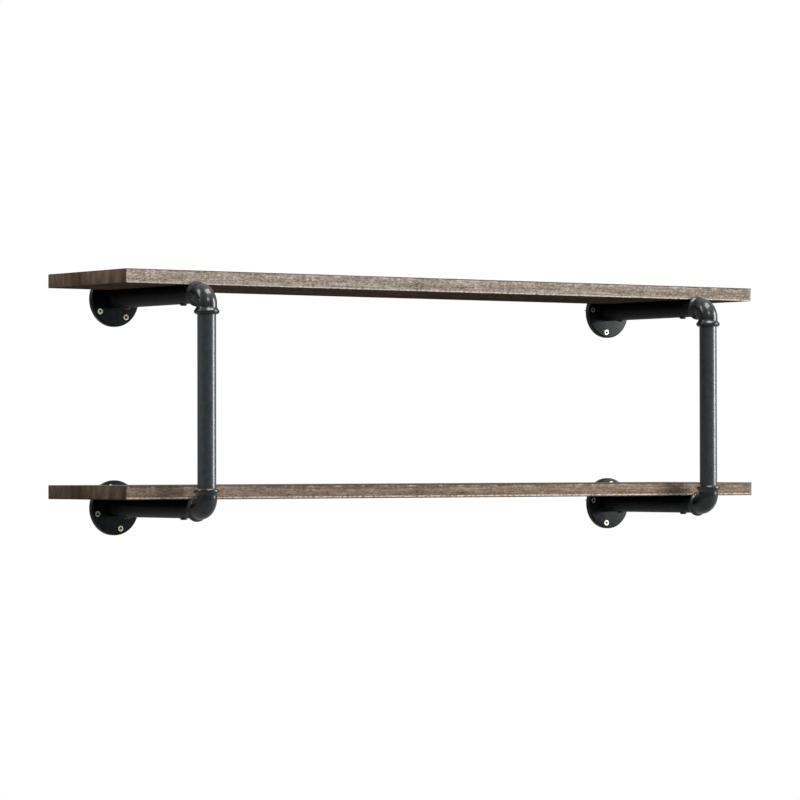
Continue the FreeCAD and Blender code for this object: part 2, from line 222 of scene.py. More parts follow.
# Plating on the screws
PLATES = {
    "yellowed_zinc": dict(base=(0.62, 0.60, 0.53), warm=(0.54, 0.48, 0.35), rough=(0.36, 0.52)),
    "black_oxide": dict(base=(0.05, 0.05, 0.053), warm=(0.032, 0.031, 0.031), rough=(0.32, 0.5)),
}
PLATE_PATCHES = dict(scale=260.0, detail=3)
PLATE_STOPS = (0.35, 0.62)
TURNING_MARKS = dict(scale=1800.0, detail=2)
MARK_SPAN = (0.3, 0.7)
MARK_DEPTH = 0.00008
MARK_STRENGTH = 0.4
# Painted shade in a screw's cross recess
RECESS_PAINTED_SHADE = (0.02, 0.019, 0.017)
RECESS_SHADE_SHARE = 0.85

# Camera, fitted to the photograph's edges
CAMERA_PLACE = Vector((-3.5772, -5.0805, -0.0914))
CAMERA_HEADING = 0.62116
CAMERA_PITCH = 0.01622
CAMERA_ROLL = -0.00166
CAMERA_LENS = 174.86
CAMERA_SENSOR = 36.0

# Studio: the rises are where a ray's height, or its lean to the backdrop, starts and ends its easing
SOFTBOX_AIM = Vector((0, -0.15, 0))
SOFTBOXES = {
    "key_softbox": dict(place=Vector((5.94, -3.86, 1.45)), width=2.6, height=3.7, power=640),
    "front_softbox": dict(place=Vector((-1.2, -4.2, 2.6)), width=1.5, height=1.0, power=75),
    "left_softbox": dict(place=Vector((-2.6, 0.75, 1.6)), width=0.65, height=2.1, power=50),
    "top_softbox": dict(place=Vector((0.3, -1.1, 3.0)), width=2.4, height=1.3, power=130,
                        on_coats_only=True),
}
FILL_RISE = (-0.5, 0.4)
FILL_BELOW = 0.035
FILL_ABOVE = 0.3
CEILING_RISE = (-0.1, 0.9)
BACKDROP_WAY = Vector((math.sin(CAMERA_HEADING), math.cos(CAMERA_HEADING), 0))
BACKDROP_RISE = (0.88, 0.99)
STUDIO_DIM = 0.3
FLOOR_DROP = 0.95
FLOOR_RADIUS = 5.0
FLOOR_FADE_SHARE = 0.7
FLOOR_GREY = (0.62, 0.62, 0.62)
FLOOR_ROUGHNESS = 0.9


def middle(node):
    """The middle of a node's box."""
    low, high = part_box(node)
    return (low + high) / 2


def half_width(node):
    """Half of a node's size along X."""
    low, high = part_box(node)
    return (high.x - low.x) / 2


PIPE_RADIUS = half_width("upright_pipe_left")
BORE_RADIUS = PIPE_RADIUS - PIPE_WALL
SOCKET_RADIUS = PIPE_RADIUS + SOCKET_CLEAR
ELBOW_BODY_RADIUS = SOCKET_RADIUS + ELBOW_WALL
ELBOW_BEND_RADIUS = ELBOW_BODY_RADIUS + ELBOW_CROTCH
BEAD_RADIUS = half_width("elbow_lower_left")


# Meshes
def outward(mesh):
    """Turn a closed mesh's faces outwards."""
    shape = bmesh.new()
    shape.from_mesh(mesh)
    bmesh.ops.remove_doubles(shape, verts=shape.verts, dist=MERGE_DISTANCE)
    bmesh.ops.recalc_face_normals(shape, faces=shape.faces)
    shape.to_mesh(mesh)
    shape.free()
    return mesh


def smooth(mesh, sharp_degrees=SHARP_DEGREES):
    """Smooth shading that keeps the edges sharper than an angle."""
    mesh.shade_smooth()
    mesh.set_sharp_from_angle(angle=math.radians(sharp_degrees))
    return mesh


def mesh_from(name, shape):
    """A new mesh from a finished shape."""
    mesh = bpy.data.meshes.new(name)
    shape.to_mesh(mesh)
    shape.free()
    return mesh


def mesh_object(name, mesh, material=None):
    """An object in the scene that shows a mesh."""
    piece = bpy.data.objects.new(name, mesh)
    bpy.context.scene.collection.objects.link(piece)
    if material:
        mesh.materials.clear()
        mesh.materials.append(material)
    return piece


def loop_pairs(points):
    """Each point of a closed loop with the next one."""
    return list(zip(points, points[1:] + points[:1]))


def ring(centre, side, out, radius, count=ROUND_SEGMENTS):
    """Points of a circle in the plane of two unit vectors."""
    angles = (math.tau * i / count for i in range(count))
    return [centre + radius * (math.cos(a) * side + math.sin(a) * out) for a in angles]


def looped_rings(name, rings):
    """A closed mesh through rings of points, where the last ring joins the first."""
    count = len(rings[0])
    around = loop_pairs(list(range(count)))
    faces = []
    for r in range(len(rings)):
        here = r * count
        there = (r + 1) % len(rings) * count
        faces += [(here + i, here + j, there + j, there + i) for i, j in around]
    mesh = bpy.data.meshes.new(name)
    mesh.from_pydata([point for points in rings for point in points], [], faces)
    return smooth(outward(mesh))


def arc(centre, radius, start, end, steps=FILLET_STEPS):
    """Points of a flat arc between two angles in degrees, both ends included."""
    angles = [math.radians(start + (end - start) * i / steps) for i in range(steps + 1)]
    return [(centre[0] + radius * math.cos(a), centre[1] + radius * math.sin(a)) for a in angles]


def straight(start, along):
    """Where the rings of a straight sweep lie: centre, side and out at a distance."""
    side = along.orthogonal().normalized()
    out = along.cross(side)
    return lambda distance: (start + distance * along, side, out)


def swept(name, profile, place):
    """Sweep circles along a line: the profile is a closed loop of distances and radii."""
    return looped_rings(name, [ring(*place(distance), radius) for distance, radius in profile])


def tube_profile(length):
    """A pipe with broken edges, with rings spaced along its outside."""
    outside, inside, bevel = PIPE_RADIUS, BORE_RADIUS, PIPE_END_BEVEL
    steps = max(2, round(length / PIPE_RING_STEP))
    run = length - 2 * bevel
    outer = [(bevel + run * i / steps, outside) for i in range(steps + 1)]
    inner = [(distance, inside) for distance, _ in reversed(outer)]
    far_end = [(length, outside - bevel), (length, inside + bevel)]
    near_end = [(0, inside + bevel), (0, outside - bevel)]
    return outer + far_end + inner + near_end


def pipe(name, node, along):
    """A pipe that fills a node's length along an axis."""
    low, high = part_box(node)
    reach = abs((high - low).dot(along))
    start = middle(node) - along * (reach / 2)
    return swept(name, tube_profile(reach), straight(start, along))


def bead_profile():
    """One end of an elbow, from its mouth to its neck: a rounded bead that flares down into the body."""
    mouth = SOCKET_RADIUS + MOUTH_BEVEL
    front_round = BEAD_FRONT_SHARE * (BEAD_RADIUS - mouth)
    crest_back = front_round + BEAD_CREST
    slope = math.atan2(BEAD_RADIUS - ELBOW_BODY_RADIUS, BEAD_FLARE)
    crest_run, root_run = (size * math.tan(slope / 2) for size in (CREST_ROUND, FLARE_ROUND))
    fall = math.degrees(slope)
    front = arc((front_round, BEAD_RADIUS - front_round), front_round, 180, 90)
    crest = arc((crest_back - crest_run, BEAD_RADIUS - CREST_ROUND), CREST_ROUND, 90, 90 - fall)
    root_place = crest_back + BEAD_FLARE + root_run
    root = arc((root_place, ELBOW_BODY_RADIUS + FLARE_ROUND), FLARE_ROUND, 270 - fall, 270)
    return [(0, mouth)] + front + crest + root


def elbow_line(corner, along_arm, along_upright, reach):
    """Where an elbow's rings lie, by the distance from its arm end along its bent centre line."""
    bend = ELBOW_BEND_RADIUS
    run = reach - bend
    bend_centre = corner + bend * (along_arm + along_upright)
    side = along_arm.cross(along_upright)

    def place(distance):
        if distance <= run:
            return corner + along_arm * (reach - distance), side, -along_upright
        turned = (distance - run) / bend
        if turned >= QUARTER_TURN:
            past = distance - run - bend * QUARTER_TURN
            return corner + along_upright * (bend + past), side, -along_arm
        out = -math.cos(turned) * along_upright - math.sin(turned) * along_arm
        return bend_centre + bend * out, side, out

    return place


def elbow(name, node, is_lower):
    """A cast elbow: beaded ends, a bent body, two sockets and the bore between them."""
    low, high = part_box(node)
    along_upright = UP if is_lower else -UP
    corner_up = low.z + BEAD_RADIUS if is_lower else high.z - BEAD_RADIUS
    corner = Vector(((low.x + high.x) / 2, low.y + BEAD_RADIUS, corner_up))
    reach = high.y - corner.y

    run = reach - ELBOW_BEND_RADIUS
    bend_run = ELBOW_BEND_RADIUS * QUARTER_TURN
    total = 2 * run + bend_run
    bend_stops = [run + bend_run * i / BEND_STEPS for i in range(BEND_STEPS + 1)]
    end = bead_profile()
    outside = end + [(stop, ELBOW_BODY_RADIUS) for stop in bend_stops]
    outside += [(total - distance, radius) for distance, radius in reversed(end)]
    socket = [(MOUTH_BEVEL, SOCKET_RADIUS), (run, SOCKET_RADIUS)]
    inside = [(total - distance, radius) for distance, radius in socket]
    inside += [(stop, BORE_RADIUS) for stop in reversed(bend_stops)]
    inside += list(reversed(socket))
    return swept(name, outside + inside, elbow_line(corner, BACK, along_upright, reach))


def flange_blank(name, radius, thick):
    """A thick disc with a rounded front rim and a stepped bore, before its holes are drilled."""
    rim = arc((thick - FLANGE_RIM_ROUND, radius - FLANGE_RIM_ROUND), FLANGE_RIM_ROUND, 90, 0)
    back_rim = arc((FLANGE_BACK_ROUND, radius - FLANGE_BACK_ROUND), FLANGE_BACK_ROUND, 180, 90)
    profile = [(0, BORE_RADIUS)] + back_rim + rim
    profile += [(thick, SOCKET_RADIUS), (FLANGE_LIP, SOCKET_RADIUS), (FLANGE_LIP, BORE_RADIUS)]
    return swept(name, profile, straight(Vector(), -BACK))


def board_blank(name, node):
    """A board with rounded edges, before its pilot holes are drilled."""
    low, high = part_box(node)
    shape = bmesh.new()
    bmesh.ops.create_cube(shape, size=1)
    bmesh.ops.scale(shape, vec=high - low, verts=shape.verts)
    bmesh.ops.translate(shape, vec=(low + high) / 2, verts=shape.verts)
    bmesh.ops.bevel(shape, geom=shape.edges, offset=ARRIS_ROUND, segments=ARRIS_SEGMENTS,
                    profile=ARRIS_PROFILE, affect="EDGES")
    return mesh_from(name, shape)


def cross_outline(reach, half):
    """The twelve corners of a cross-shaped recess."""
    corners = [(reach, -half), (reach, half), (half, half)]
    points = []
    for turn in range(4):
        c = round(math.cos(turn * QUARTER_TURN))
        s = round(math.sin(turn * QUARTER_TURN))
        points += [(c * x - s * y, s * x + c * y) for x, y in corners]
    return points


def thread_radius(sizes, length, height):
    """Radius by angle: a ridge that winds once round the core in each pitch, and dies at the tip."""
    taper = min(1.0, (length - height) / sizes["tip"])

    def at(angle):
        phase = (height / sizes["pitch"] - angle / math.tau) % 1.0
        ridge = max(0.0, 1.0 - abs(2.0 * phase - 1.0) * THREAD_STEEPNESS)
        return taper * (sizes["core"] + (sizes["thread"] - sizes["core"]) * ridge) + POINT_RADIUS

    return at


def sink_recess(shape, rim, reach):
    """Close a head's flat top inside its rim, around a tapered cross whose faces are marked as recess."""
    mouth_points = cross_outline(reach, reach * RECESS_ARM_SHARE)
    floor_points = cross_outline(reach * RECESS_FLOOR_SHARE, reach * RECESS_FLOOR_ARM_SHARE)
    mouth = [shape.verts.new((x, y, 0)) for x, y in mouth_points]
    floor = [shape.verts.new((x, y, reach * RECESS_DEPTH_SHARE)) for x, y in floor_points]
    edges = [shape.edges.get(pair) for pair in loop_pairs(rim)]
    edges += [shape.edges.new(pair) for pair in loop_pairs(mouth)]
    bmesh.ops.triangle_fill(shape, use_beauty=True, edges=edges)
    sunk = shape.faces.layers.float.new("recess")
    for (a, b), (c, d) in zip(loop_pairs(mouth), loop_pairs(floor)):
        shape.faces.new((a, b, d, c))[sunk] = 1
    shape.faces.new(floor)[sunk] = 1


def screw(name, sizes, head_profile, length, thread_start):
    """A cross-recessed screw along +Z, its head's top at zero: a turned head, a shank and a real thread."""
    shape = bmesh.new()
    angles = [math.tau * i / SCREW_SEGMENTS for i in range(SCREW_SEGMENTS)]

    def add_ring(height, radius_at):
        spots = [(radius_at(a) * math.cos(a), radius_at(a) * math.sin(a), height) for a in angles]
        return [shape.verts.new(spot) for spot in spots]

    rings = [add_ring(height, lambda a, r=radius: r) for height, radius in head_profile]
    steps = round((length - thread_start) / sizes["pitch"] * THREAD_STEPS)
    for i in range(steps + 1):
        height = thread_start + (length - thread_start) * i / steps
        rings.append(add_ring(height, thread_radius(sizes, length, height)))
    for first, second in zip(rings, rings[1:]):
        for (a, b), (c, d) in zip(loop_pairs(first), loop_pairs(second)):
            shape.faces.new((a, b, d, c))
    shape.faces.new(rings[-1])
    sink_recess(shape, rings[0], sizes["recess"])
    bmesh.ops.recalc_face_normals(shape, faces=shape.faces)
    return mesh_from(name, shape)


def domed_head(sizes):
    """A low head's profile: a flat top, a dome down to the rim, and in to the shank."""
    crown = BOARD_HEAD_HIGH - BOARD_HEAD_RIM
    flat = BOARD_HEAD_TOP_SHARE * sizes["head"]
    fall = sizes["head"] - flat
    turns = [QUARTER_TURN * i / FILLET_STEPS for i in range(FILLET_STEPS + 1)]
    dome = [(crown * (1 - math.cos(turn)), flat + fall * math.sin(turn)) for turn in turns]
    return dome + [(BOARD_HEAD_HIGH, sizes["head"]), (BOARD_HEAD_HIGH, sizes["shank"])]


# Nodes
def wire(tree, node, inputs):
    """Feed a node's inputs, each from a socket or with a value; a colour may leave out its alpha."""
    for key, value in inputs.items():
        socket = node.inputs[key]
        if isinstance(value, bpy.types.NodeSocket):
            tree.links.new(value, socket)
        elif socket.type == "RGBA" and len(value) == 3:
            socket.default_value = (*value, 1)
        else:
            socket.default_value = value


def add_node(tree, kind, settings=None, inputs=None):
    """A node with its settings and its inputs."""
    node = tree.nodes.new(kind)
    for key, value in (settings or {}).items():
        setattr(node, key, value)
    wire(tree, node, inputs or {})
    return node


def maths(tree, operation, *values):
    """A sum on one to three numbers; each is a socket or a value."""
    return add_node(tree, "ShaderNodeMath", {"operation": operation}, dict(enumerate(values))).outputs[0]


# Geometry Nodes
def node_tree(name, inputs):
    """A tree that takes a geometry and named sizes, each a label and its socket type."""
    tree = bpy.data.node_groups.new(name, "GeometryNodeTree")
    tree.interface.new_socket("Geometry", in_out="INPUT", socket_type="NodeSocketGeometry")
    for label, kind in inputs:
        tree.interface.new_socket(label, in_out="INPUT", socket_type="NodeSocket" + kind)
    tree.interface.new_socket("Geometry", in_out="OUTPUT", socket_type="NodeSocketGeometry")
    return tree, tree.nodes.new("NodeGroupInput").outputs


def realized(tree, points, geometry, rotation=None):
    """Copies of a geometry on points, made real."""
    inputs = {"Points": points, "Instance": geometry}
    if rotation is not None:
        inputs["Rotation"] = rotation
    copies = add_node(tree, "GeometryNodeInstanceOnPoints", None, inputs)
    return add_node(tree, "GeometryNodeRealizeInstances", None, {"Geometry": copies.outputs[0]}).outputs[0]


def turned_copies(tree, given, geometry):
    """Copies of a geometry, turned evenly about the arm's axis from the first hole's turn."""
    index = add_node(tree, "GeometryNodeInputIndex").outputs["Index"]
    step = maths(tree, "DIVIDE", math.tau, given["Count"])
    angle = maths(tree, "MULTIPLY_ADD", index, step, given["Turn"])
    turn = add_node(tree, "FunctionNodeAxisAngleToRotation", None, {"Axis": -BACK, "Angle": angle})
    points = add_node(tree, "GeometryNodePoints", None,
                      {"Count": given["Count"], "Position": given["Centre"]})
    return realized(tree, points.outputs[0], geometry, turn.outputs[0])


def row_copies(tree, given, geometry):
    """Copies of a geometry in a row, from a first place by a step."""
    line = add_node(tree, "GeometryNodeMeshLine", {"mode": "OFFSET"},
                    {"Count": given["Count"], "Start Location": given["First"], "Offset": given["Step"]})
    return realized(tree, line.outputs[0], geometry)


def close_tree(tree, geometry, material):
    """End a tree in its material."""
    painted = add_node(tree, "GeometryNodeSetMaterial", None, {"Geometry": geometry, "Material": material})
    add_node(tree, "NodeGroupOutput", None, {0: painted.outputs[0]})
    return tree


def cut_away(tree, geometry, cutter):
    """A geometry less its cutter."""
    cut = add_node(tree, "GeometryNodeMeshBoolean", {"operation": "DIFFERENCE", "solver": "EXACT"},
                   {"Mesh 1": geometry, "Mesh 2": cutter})
    return cut.outputs[0]


def flange_tree(material):
    """Holes round a flange, each with its countersink, all turned and moved to the flange's place."""
    tree, given = node_tree("countersunk_holes", [
        ("Count", "Int"), ("Turn", "Float"), ("Centre", "Vector"), ("Circle Radius", "Float"),
        ("Hole Radius", "Float"), ("Sink Radius", "Float"), ("Thickness", "Float"), ("Overrun", "Float")])
    put = add_node(tree, "GeometryNodeTransform", None,
                   {"Geometry": given["Geometry"], "Translation": given["Centre"]})

    # A through hole and a cone, both along the arm's axis, out on the hole circle
    drill_length = maths(tree, "MULTIPLY", given["Thickness"], DRILL_LENGTHS)
    drill = add_node(tree, "GeometryNodeMeshCylinder", None,
                     {"Vertices": CUT_SEGMENTS, "Radius": given["Hole Radius"], "Depth": drill_length})
    wide = maths(tree, "ADD", given["Sink Radius"], given["Overrun"])
    sink = add_node(tree, "GeometryNodeMeshCone", None,
                    {"Vertices": CUT_SEGMENTS, "Radius Bottom": wide, "Depth": wide})
    front = maths(tree, "ADD", given["Thickness"], given["Overrun"])
    forward = maths(tree, "MULTIPLY", front, -1.0)
    drill_place = add_node(tree, "ShaderNodeCombineXYZ", None, {"X": given["Circle Radius"]})
    sink_place = add_node(tree, "ShaderNodeCombineXYZ", None, {"X": given["Circle Radius"], "Y": forward})
    into_wall = (-QUARTER_TURN, 0, 0)
    geometry = put.outputs[0]
    for cutter, place in ((drill, drill_place), (sink, sink_place)):
        stood = add_node(tree, "GeometryNodeTransform", None, {
            "Geometry": cutter.outputs["Mesh"], "Translation": place.outputs[0], "Rotation": into_wall})
        geometry = cut_away(tree, geometry, turned_copies(tree, given, stood.outputs[0]))
    return close_tree(tree, geometry, material)


def drilled_tree(material):
    """Upright holes drilled in a row."""
    tree, given = node_tree("drilled_row", [
        ("Count", "Int"), ("First", "Vector"), ("Step", "Vector"),
        ("Hole Radius", "Float"), ("Depth", "Float")])
    drill = add_node(tree, "GeometryNodeMeshCylinder", None,
                     {"Vertices": CUT_SEGMENTS, "Radius": given["Hole Radius"], "Depth": given["Depth"]})
    cutters = row_copies(tree, given, drill.outputs["Mesh"])
    return close_tree(tree, cut_away(tree, given["Geometry"], cutters), material)


def wall_screw_tree(material):
    """Screws round a flange."""
    tree, given = node_tree("screws_round_a_flange", [
        ("Count", "Int"), ("Turn", "Float"), ("Centre", "Vector")])
    return close_tree(tree, turned_copies(tree, given, given["Geometry"]), material)


def board_screw_tree(material):
    """Screws in a row along an arm."""
    tree, given = node_tree("screws_in_a_row", [
        ("Count", "Int"), ("First", "Vector"), ("Step", "Vector")])
    return close_tree(tree, row_copies(tree, given, given["Geometry"]), material)


def grown(name, mesh, *stages):
    """Run trees over a mesh, each with its inputs, and keep the result as a plain mesh."""
    seed = mesh_object(name + "_seed", mesh)
    for tree, values in stages:
        modifier = seed.modifiers.new(tree.name, "NODES")
        modifier.node_group = tree
        items = tree.interface.items_tree
        sockets = {item.name: item.identifier for item in items if item.in_out == "INPUT"}
        for label, value in values.items():
            modifier[sockets[label]] = value
    bpy.context.view_layer.update()
    graph = bpy.context.evaluated_depsgraph_get()
    result = bpy.data.meshes.new_from_object(seed.evaluated_get(graph), depsgraph=graph)
    seed.modifiers.clear()
    bpy.data.objects.remove(seed)
    result.name = name
    return mesh_object(name, smooth(result))


# Materials
def new_material(name):
    """A material with its shader and output alone."""
    material = bpy.data.materials.new(name)
    material.use_nodes = True
    tree = material.node_tree
    return material, tree, tree.nodes["Principled BSDF"]


def own_coordinates(tree, centre=None):
    """The piece's own coordinates, measured from a centre."""
    place = add_node(tree, "ShaderNodeTexCoord").outputs["Object"]
    if centre is None:
        return place
    return add_node(tree, "ShaderNodeMapping", None, {"Vector": place, "Location": -centre}).outputs[0]


def split(tree, vector):
    """A vector's X, Y and Z."""
    return add_node(tree, "ShaderNodeSeparateXYZ", None, {"Vector": vector}).outputs


def noise(tree, vector, scale, detail, roughness=0.55, stretch=None):
    """A noise of the piece's own coordinates, in features per metre, drawn out along an axis if asked."""
    if stretch:
        vector = add_node(tree, "ShaderNodeMapping", None, {"Vector": vector, "Scale": stretch}).outputs[0]
    inputs = {"Vector": vector, "Scale": scale, "Detail": detail, "Roughness": roughness}
    return add_node(tree, "ShaderNodeTexNoise", None, inputs).outputs["Fac"]


def ramp(tree, value, stops):
    """A colour ramp of positions and colours."""
    node = add_node(tree, "ShaderNodeValToRGB", None, {"Fac": value})
    elements = node.color_ramp.elements
    while len(elements) < len(stops):
        elements.new(0.5)
    for element, (position, colour) in zip(elements, stops):
        element.position = position
        element.color = (*colour, 1)
    return node.outputs["Color"]


def grey_ramp(tree, value, low, high, dark, light):
    """A ramp of greys: dark where the value is low, light where it is high."""
    return ramp(tree, value, [(low, (dark,) * 3), (high, (light,) * 3)])


def eased(tree, value, start, end, first=0.0, last=1.0):
    """A smooth step of a value, from the first number at the start to the last at the end."""
    step = add_node(tree, "ShaderNodeMapRange", {"interpolation_type": "SMOOTHSTEP"},
                    {"Value": value, "From Min": start, "From Max": end, "To Min": first, "To Max": last})
    return step.outputs[0]


def band(tree, value, start, end, soft):
    """One between two values of a socket, with soft ends, and nothing outside them."""
    rise = eased(tree, value, start - soft, start + soft)
    return maths(tree, "MULTIPLY", rise, eased(tree, value, end + soft, end - soft))


def mixed(tree, share, first, second, blend="MIX"):
    """Mix two colours; the share and the colours are sockets or values."""
    settings = {"data_type": "RGBA", "blend_type": blend}
    return add_node(tree, "ShaderNodeMix", settings, {0: share, 6: first, 7: second}).outputs[2]


def shaded(tree, colour, shade):
    """A colour times a shade."""
    return mixed(tree, 1.0, colour, shade, "MULTIPLY")


def mixed_value(tree, share, first, second):
    """Mix two numbers; each is a socket or a value."""
    return add_node(tree, "ShaderNodeMix", {"data_type": "FLOAT"}, {0: share, 2: first, 3: second}).outputs[0]


def bumped(tree, shader, height, distance, strength):
    """Raise a shader's surface by a height."""
    inputs = {"Height": height, "Distance": distance, "Strength": strength}
    bump = add_node(tree, "ShaderNodeBump", None, inputs)
    wire(tree, shader, {"Normal": bump.outputs[0]})


def face_masks(tree):
    """One on a board's sides, on its front and on its ends, by how the faces point."""
    normal = split(tree, add_node(tree, "ShaderNodeNewGeometry").outputs["True Normal"])
    return {
        "side": maths(tree, "LESS_THAN", maths(tree, "ABSOLUTE", normal["Z"]), SIDE_FACE),
        "front": maths(tree, "LESS_THAN", normal["Y"], FRONT_FACE),
        "end": maths(tree, "GREATER_THAN", maths(tree, "ABSOLUTE", normal["X"]), END_FACE),
    }


def long_grain(tree, place, faces, noises, tones):
    """Growth rings about a heart below the board, most on its flat faces, with fibres, flecks and stains."""
    heart = add_node(tree, "ShaderNodeMapping", None,
                     {"Vector": place, "Location": tones["heart"], "Scale": RING_STRETCH})
    rings = add_node(tree, "ShaderNodeTexWave",
                     {"wave_type": "RINGS", "rings_direction": "X", "wave_profile": "SAW"},
                     {"Vector": heart.outputs[0], **RING_SIZES})
    figure = mixed_value(tree, faces["side"], FLAT_FIGURE, SIDE_FIGURE)
    weights = [(noises["flecks"], tones["speckle"]), (noises["mottle"], MOTTLE_WEIGHT),
               (noises["fibres"], FIBRE_WEIGHT), (rings.outputs["Fac"], figure),
               (noises["stains"], STAIN_WEIGHT)]
    grain = NOISE_MIDDLE
    for value, weight in weights:
        swing = maths(tree, "MULTIPLY", maths(tree, "SUBTRACT", value, NOISE_MIDDLE), weight)
        grain = maths(tree, "ADD", swing, grain)
    return ramp(tree, grain, list(zip(GRAIN_STOPS, (tones["dark"], tones["middle_tone"], tones["pale"]))))


def drifted_with_painted_shade(tree, colour, along, half_length, pore, noises, tones):
    """A tone drift from one end to the other, which on the upper board is painted shade that darkens it
    towards the right; with dark pores, and pale sparks that fade as the drift darkens.
    """
    left, right = tones["tone_drift_with_painted_shade"]
    drift = add_node(tree, "ShaderNodeMapRange", None, {
        "Value": along, "From Min": -half_length, "From Max": half_length,
        "To Min": left, "To Max": right}).outputs[0]
    # Painted shade: on the upper board the drift darkens the colour towards the right end, against the key
    # lamp's light.
    colour = shaded(tree, shaded(tree, colour, drift), pore)
    sparks = grey_ramp(tree, noises["sparks"], *SPARK_SPAN, 0.0, tones["glints"])
    spark = maths(tree, "MULTIPLY", sparks, maths(tree, "POWER", drift, SPARK_FADE))
    return mixed(tree, spark, colour, RUBBED_WOOD)


def sawn_end(tree, noises, tone):
    """A browner, darker end, partly end grain and partly painted shade, with upright saw strokes and patches.
    """
    colour = shaded(tree, tone, grey_ramp(tree, noises["strokes"], *STROKE_SHADE))
    return shaded(tree, colour, grey_ramp(tree, noises["patches"], *PATCH_SHADE))


def worn_edges(tree, colour, spot, half, faces, noises, tones):
    """The front's edges rubbed pale in dashes; grime along every top edge and, on one board, painted shade
    along the foot.
    """
    top = half.z - GRIME_HIGH
    foot = tones["foot"] - half.z
    low_rub = band(tree, spot["Z"], foot, foot + RUB_HIGH, EDGE_SOFT)
    low_rub = maths(tree, "MULTIPLY", low_rub, grey_ramp(tree, noises["flecks"], *LOW_DASHES))
    high_rub = band(tree, spot["Z"], top - RUB_HIGH, top, EDGE_SOFT)
    high_rub = maths(tree, "MULTIPLY", high_rub, grey_ramp(tree, noises["mottle"], *HIGH_DASHES))
    end_rub = eased(tree, maths(tree, "ABSOLUTE", spot["X"]), half.x - END_RUB, half.x)
    end_dashes = grey_ramp(tree, noises["flecks"], *END_DASH_SPAN, 0.0, tones["glints"])
    end_rub = maths(tree, "MULTIPLY", end_rub, end_dashes)
    rubbed = maths(tree, "MAXIMUM", maths(tree, "MAXIMUM", low_rub, high_rub), end_rub)
    colour = mixed(tree, maths(tree, "MULTIPLY", rubbed, faces["front"]), colour, RUBBED_WOOD)

    grime_and_shade = eased(tree, spot["Z"], top - EDGE_SOFT, top + EDGE_SOFT)
    if tones["foot"]:
        # Painted shade: a dark band along the lower board's foot, standing in for the unlit underside at its
        # edge.
        foot_shade = eased(tree, spot["Z"], foot + EDGE_SOFT, foot - EDGE_SOFT)
        grime_and_shade = maths(tree, "MAXIMUM", grime_and_shade, maths(tree, "MULTIPLY", foot_shade, FOOT_SHADE_SHARE))
    grime_and_shade = maths(tree, "MULTIPLY", grime_and_shade, faces["side"])
    grime_and_shade = maths(tree, "MULTIPLY", grime_and_shade, grey_ramp(tree, noises["stains"], *GRIME_AND_SHADE_PATCHES))
    return mixed(tree, grime_and_shade, colour, GRIME_AND_SHADE_WOOD)


def weathered_wood(name, node, tones):
    """Rough grey-brown board: growth rings, fibres along X, flecks, stains, browner ends (partly painted
    shade), worn edges, painted shade at one board's foot, and on the upper board painted shade towards its
    right end.
    """
    material, tree, shader = new_material(name)
    low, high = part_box(node)
    half = (high - low) / 2
    place = own_coordinates(tree, (low + high) / 2)
    spot = split(tree, place)
    faces = face_masks(tree)
    noises = {label: noise(tree, place, **sizes) for label, sizes in WOOD_NOISES.items()}
    pore = grey_ramp(tree, noises["pores"], *PORE_SHADE)

    colour = long_grain(tree, place, faces, noises, tones)
    colour = drifted_with_painted_shade(tree, colour, spot["X"], half.x, pore, noises, tones)
    # The ends' dark brown: partly end grain, partly painted shade, for the left ends that face away from the
    # key lamp.
    colour = mixed(tree, faces["end"], colour, sawn_end(tree, noises, tones["end_grain_and_shade_tone"]))
    colour = worn_edges(tree, colour, spot, half, faces, noises, tones)
    wire(tree, shader, {
        "Base Color": colour, "Roughness": grey_ramp(tree, noises["fibres"], *WOOD_ROUGHNESS),
        "Specular IOR Level": 0.0})

    height = maths(tree, "MULTIPLY", noises["fibres"], FIBRE_RELIEF)
    for value, relief in ((noises["flecks"], FLECK_RELIEF), (pore, PORE_RELIEF)):
        height = maths(tree, "ADD", height, maths(tree, "MULTIPLY", value, relief))
    bumped(tree, shader, height, WOOD_BUMP_DEPTH, WOOD_BUMP_STRENGTH)
    return material


def black_iron(name):
    """Black coat on iron: mottled tone, uneven sheen, a pebbled skin and, on some, a thin lacquer."""
    coat = COATS[name]
    material, tree, shader = new_material(name)
    place = own_coordinates(tree)
    mottle = noise(tree, place, **COAT_MOTTLE)
    skin = noise(tree, place, coat["pebbles"], **PEBBLE_NOISE)
    grit = noise(tree, place, coat["pebbles"] * GRIT_PER_PEBBLE, **GRIT_NOISE)
    tones = [(stop, [part * share for part in coat["base"]]) for stop, share in COAT_TONES]
    lacquer, lacquer_roughness = coat["lacquer"]
    wire(tree, shader, {
        "Base Color": ramp(tree, mottle, tones),
        "Roughness": grey_ramp(tree, mottle, *COAT_SPAN, *coat["rough"]),
        "Specular IOR Level": coat["specular"], "Specular Tint": COOL_SHEEN,
        "Coat Weight": lacquer, "Coat Roughness": lacquer_roughness})
    height = maths(tree, "ADD", skin, maths(tree, "MULTIPLY", grit, GRIT_RELIEF))
    bumped(tree, shader, height, coat["depth"], COAT_BUMP_STRENGTH)
    return material


